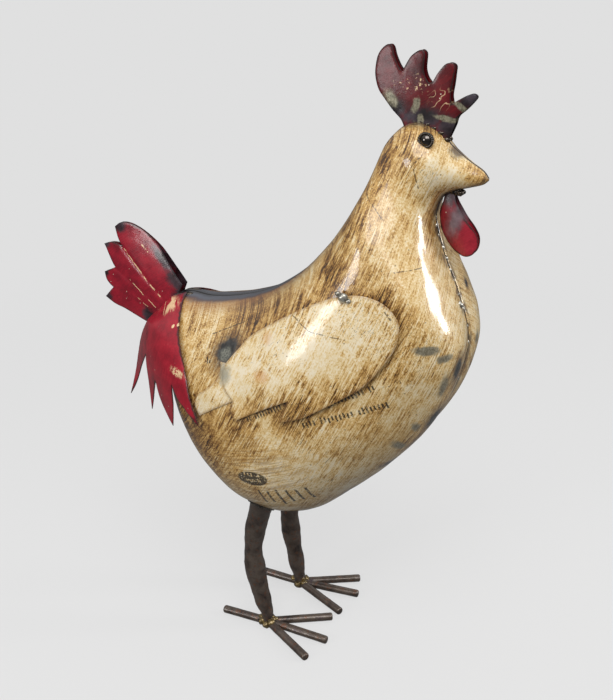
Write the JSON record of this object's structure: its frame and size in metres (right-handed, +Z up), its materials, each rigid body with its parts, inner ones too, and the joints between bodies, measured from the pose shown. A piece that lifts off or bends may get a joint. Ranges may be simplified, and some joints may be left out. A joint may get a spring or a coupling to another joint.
{
  "type": "garden rooster sculpture",
  "caption": "Standing rooster of welded scrap sheet metal: round cream body, domed wings, red comb, wattles and tail feathers, on bent bar legs with splayed bar toes.",
  "frame": {"origin": "on the floor, under the middle of the bird's overall box", "axes": "+X from the tail to the beak, +Y to the bird's left, +Z up; the bird's middle plane is Y = 0"},
  "size_m": [0.374, 0.1938, 0.5519],
  "materials": {
    "cream": "glossy lacquered cream paint with brown antiquing, scratches, weld marks and dark heat stains along the seams",
    "wing_cream": "glossy lacquered cream paint, a little paler than the body, with fine slanting scratches",
    "comb_red": "glossy deep red paint with bare grey solder patches and burnt dark tips",
    "wattle_red": "glossy deep red paint, blackened in the middle and at the top",
    "tail_red": "glossy deep red paint with blue-black heat spots, white chips and burnt dark edges",
    "ball_steel": "dark polished ball bearing steel",
    "bar_steel": "dark lacquered bar steel with rust-brown and grey tones"
  },
  "bodies": {
    "root": {"body_right_half": "cream", "body_left_half": "cream", "wing_right": "wing_cream", "wing_left": "wing_cream", "wing_tip_right": "wing_cream", "wing_tip_left": "wing_cream", "comb_right_sheet": "comb_red", "comb_left_sheet": "comb_red", "wattle_right": "wattle_red", "wattle_left": "wattle_red", "tail_fan_right": "tail_red", "tail_fan_left": "tail_red", "saddle_feathers_right": "tail_red", "saddle_feathers_left": "tail_red", "eye_right": "ball_steel", "eye_left": "ball_steel", "leg_right": "bar_steel", "leg_left": "bar_steel", "toe_inner_right": "bar_steel", "toe_middle_right": "bar_steel", "toe_outer_right": "bar_steel", "toe_back_right": "bar_steel", "toe_inner_left": "bar_steel", "toe_middle_left": "bar_steel", "toe_outer_left": "bar_steel", "toe_back_left": "bar_steel"}
  },
  "joints": []
}
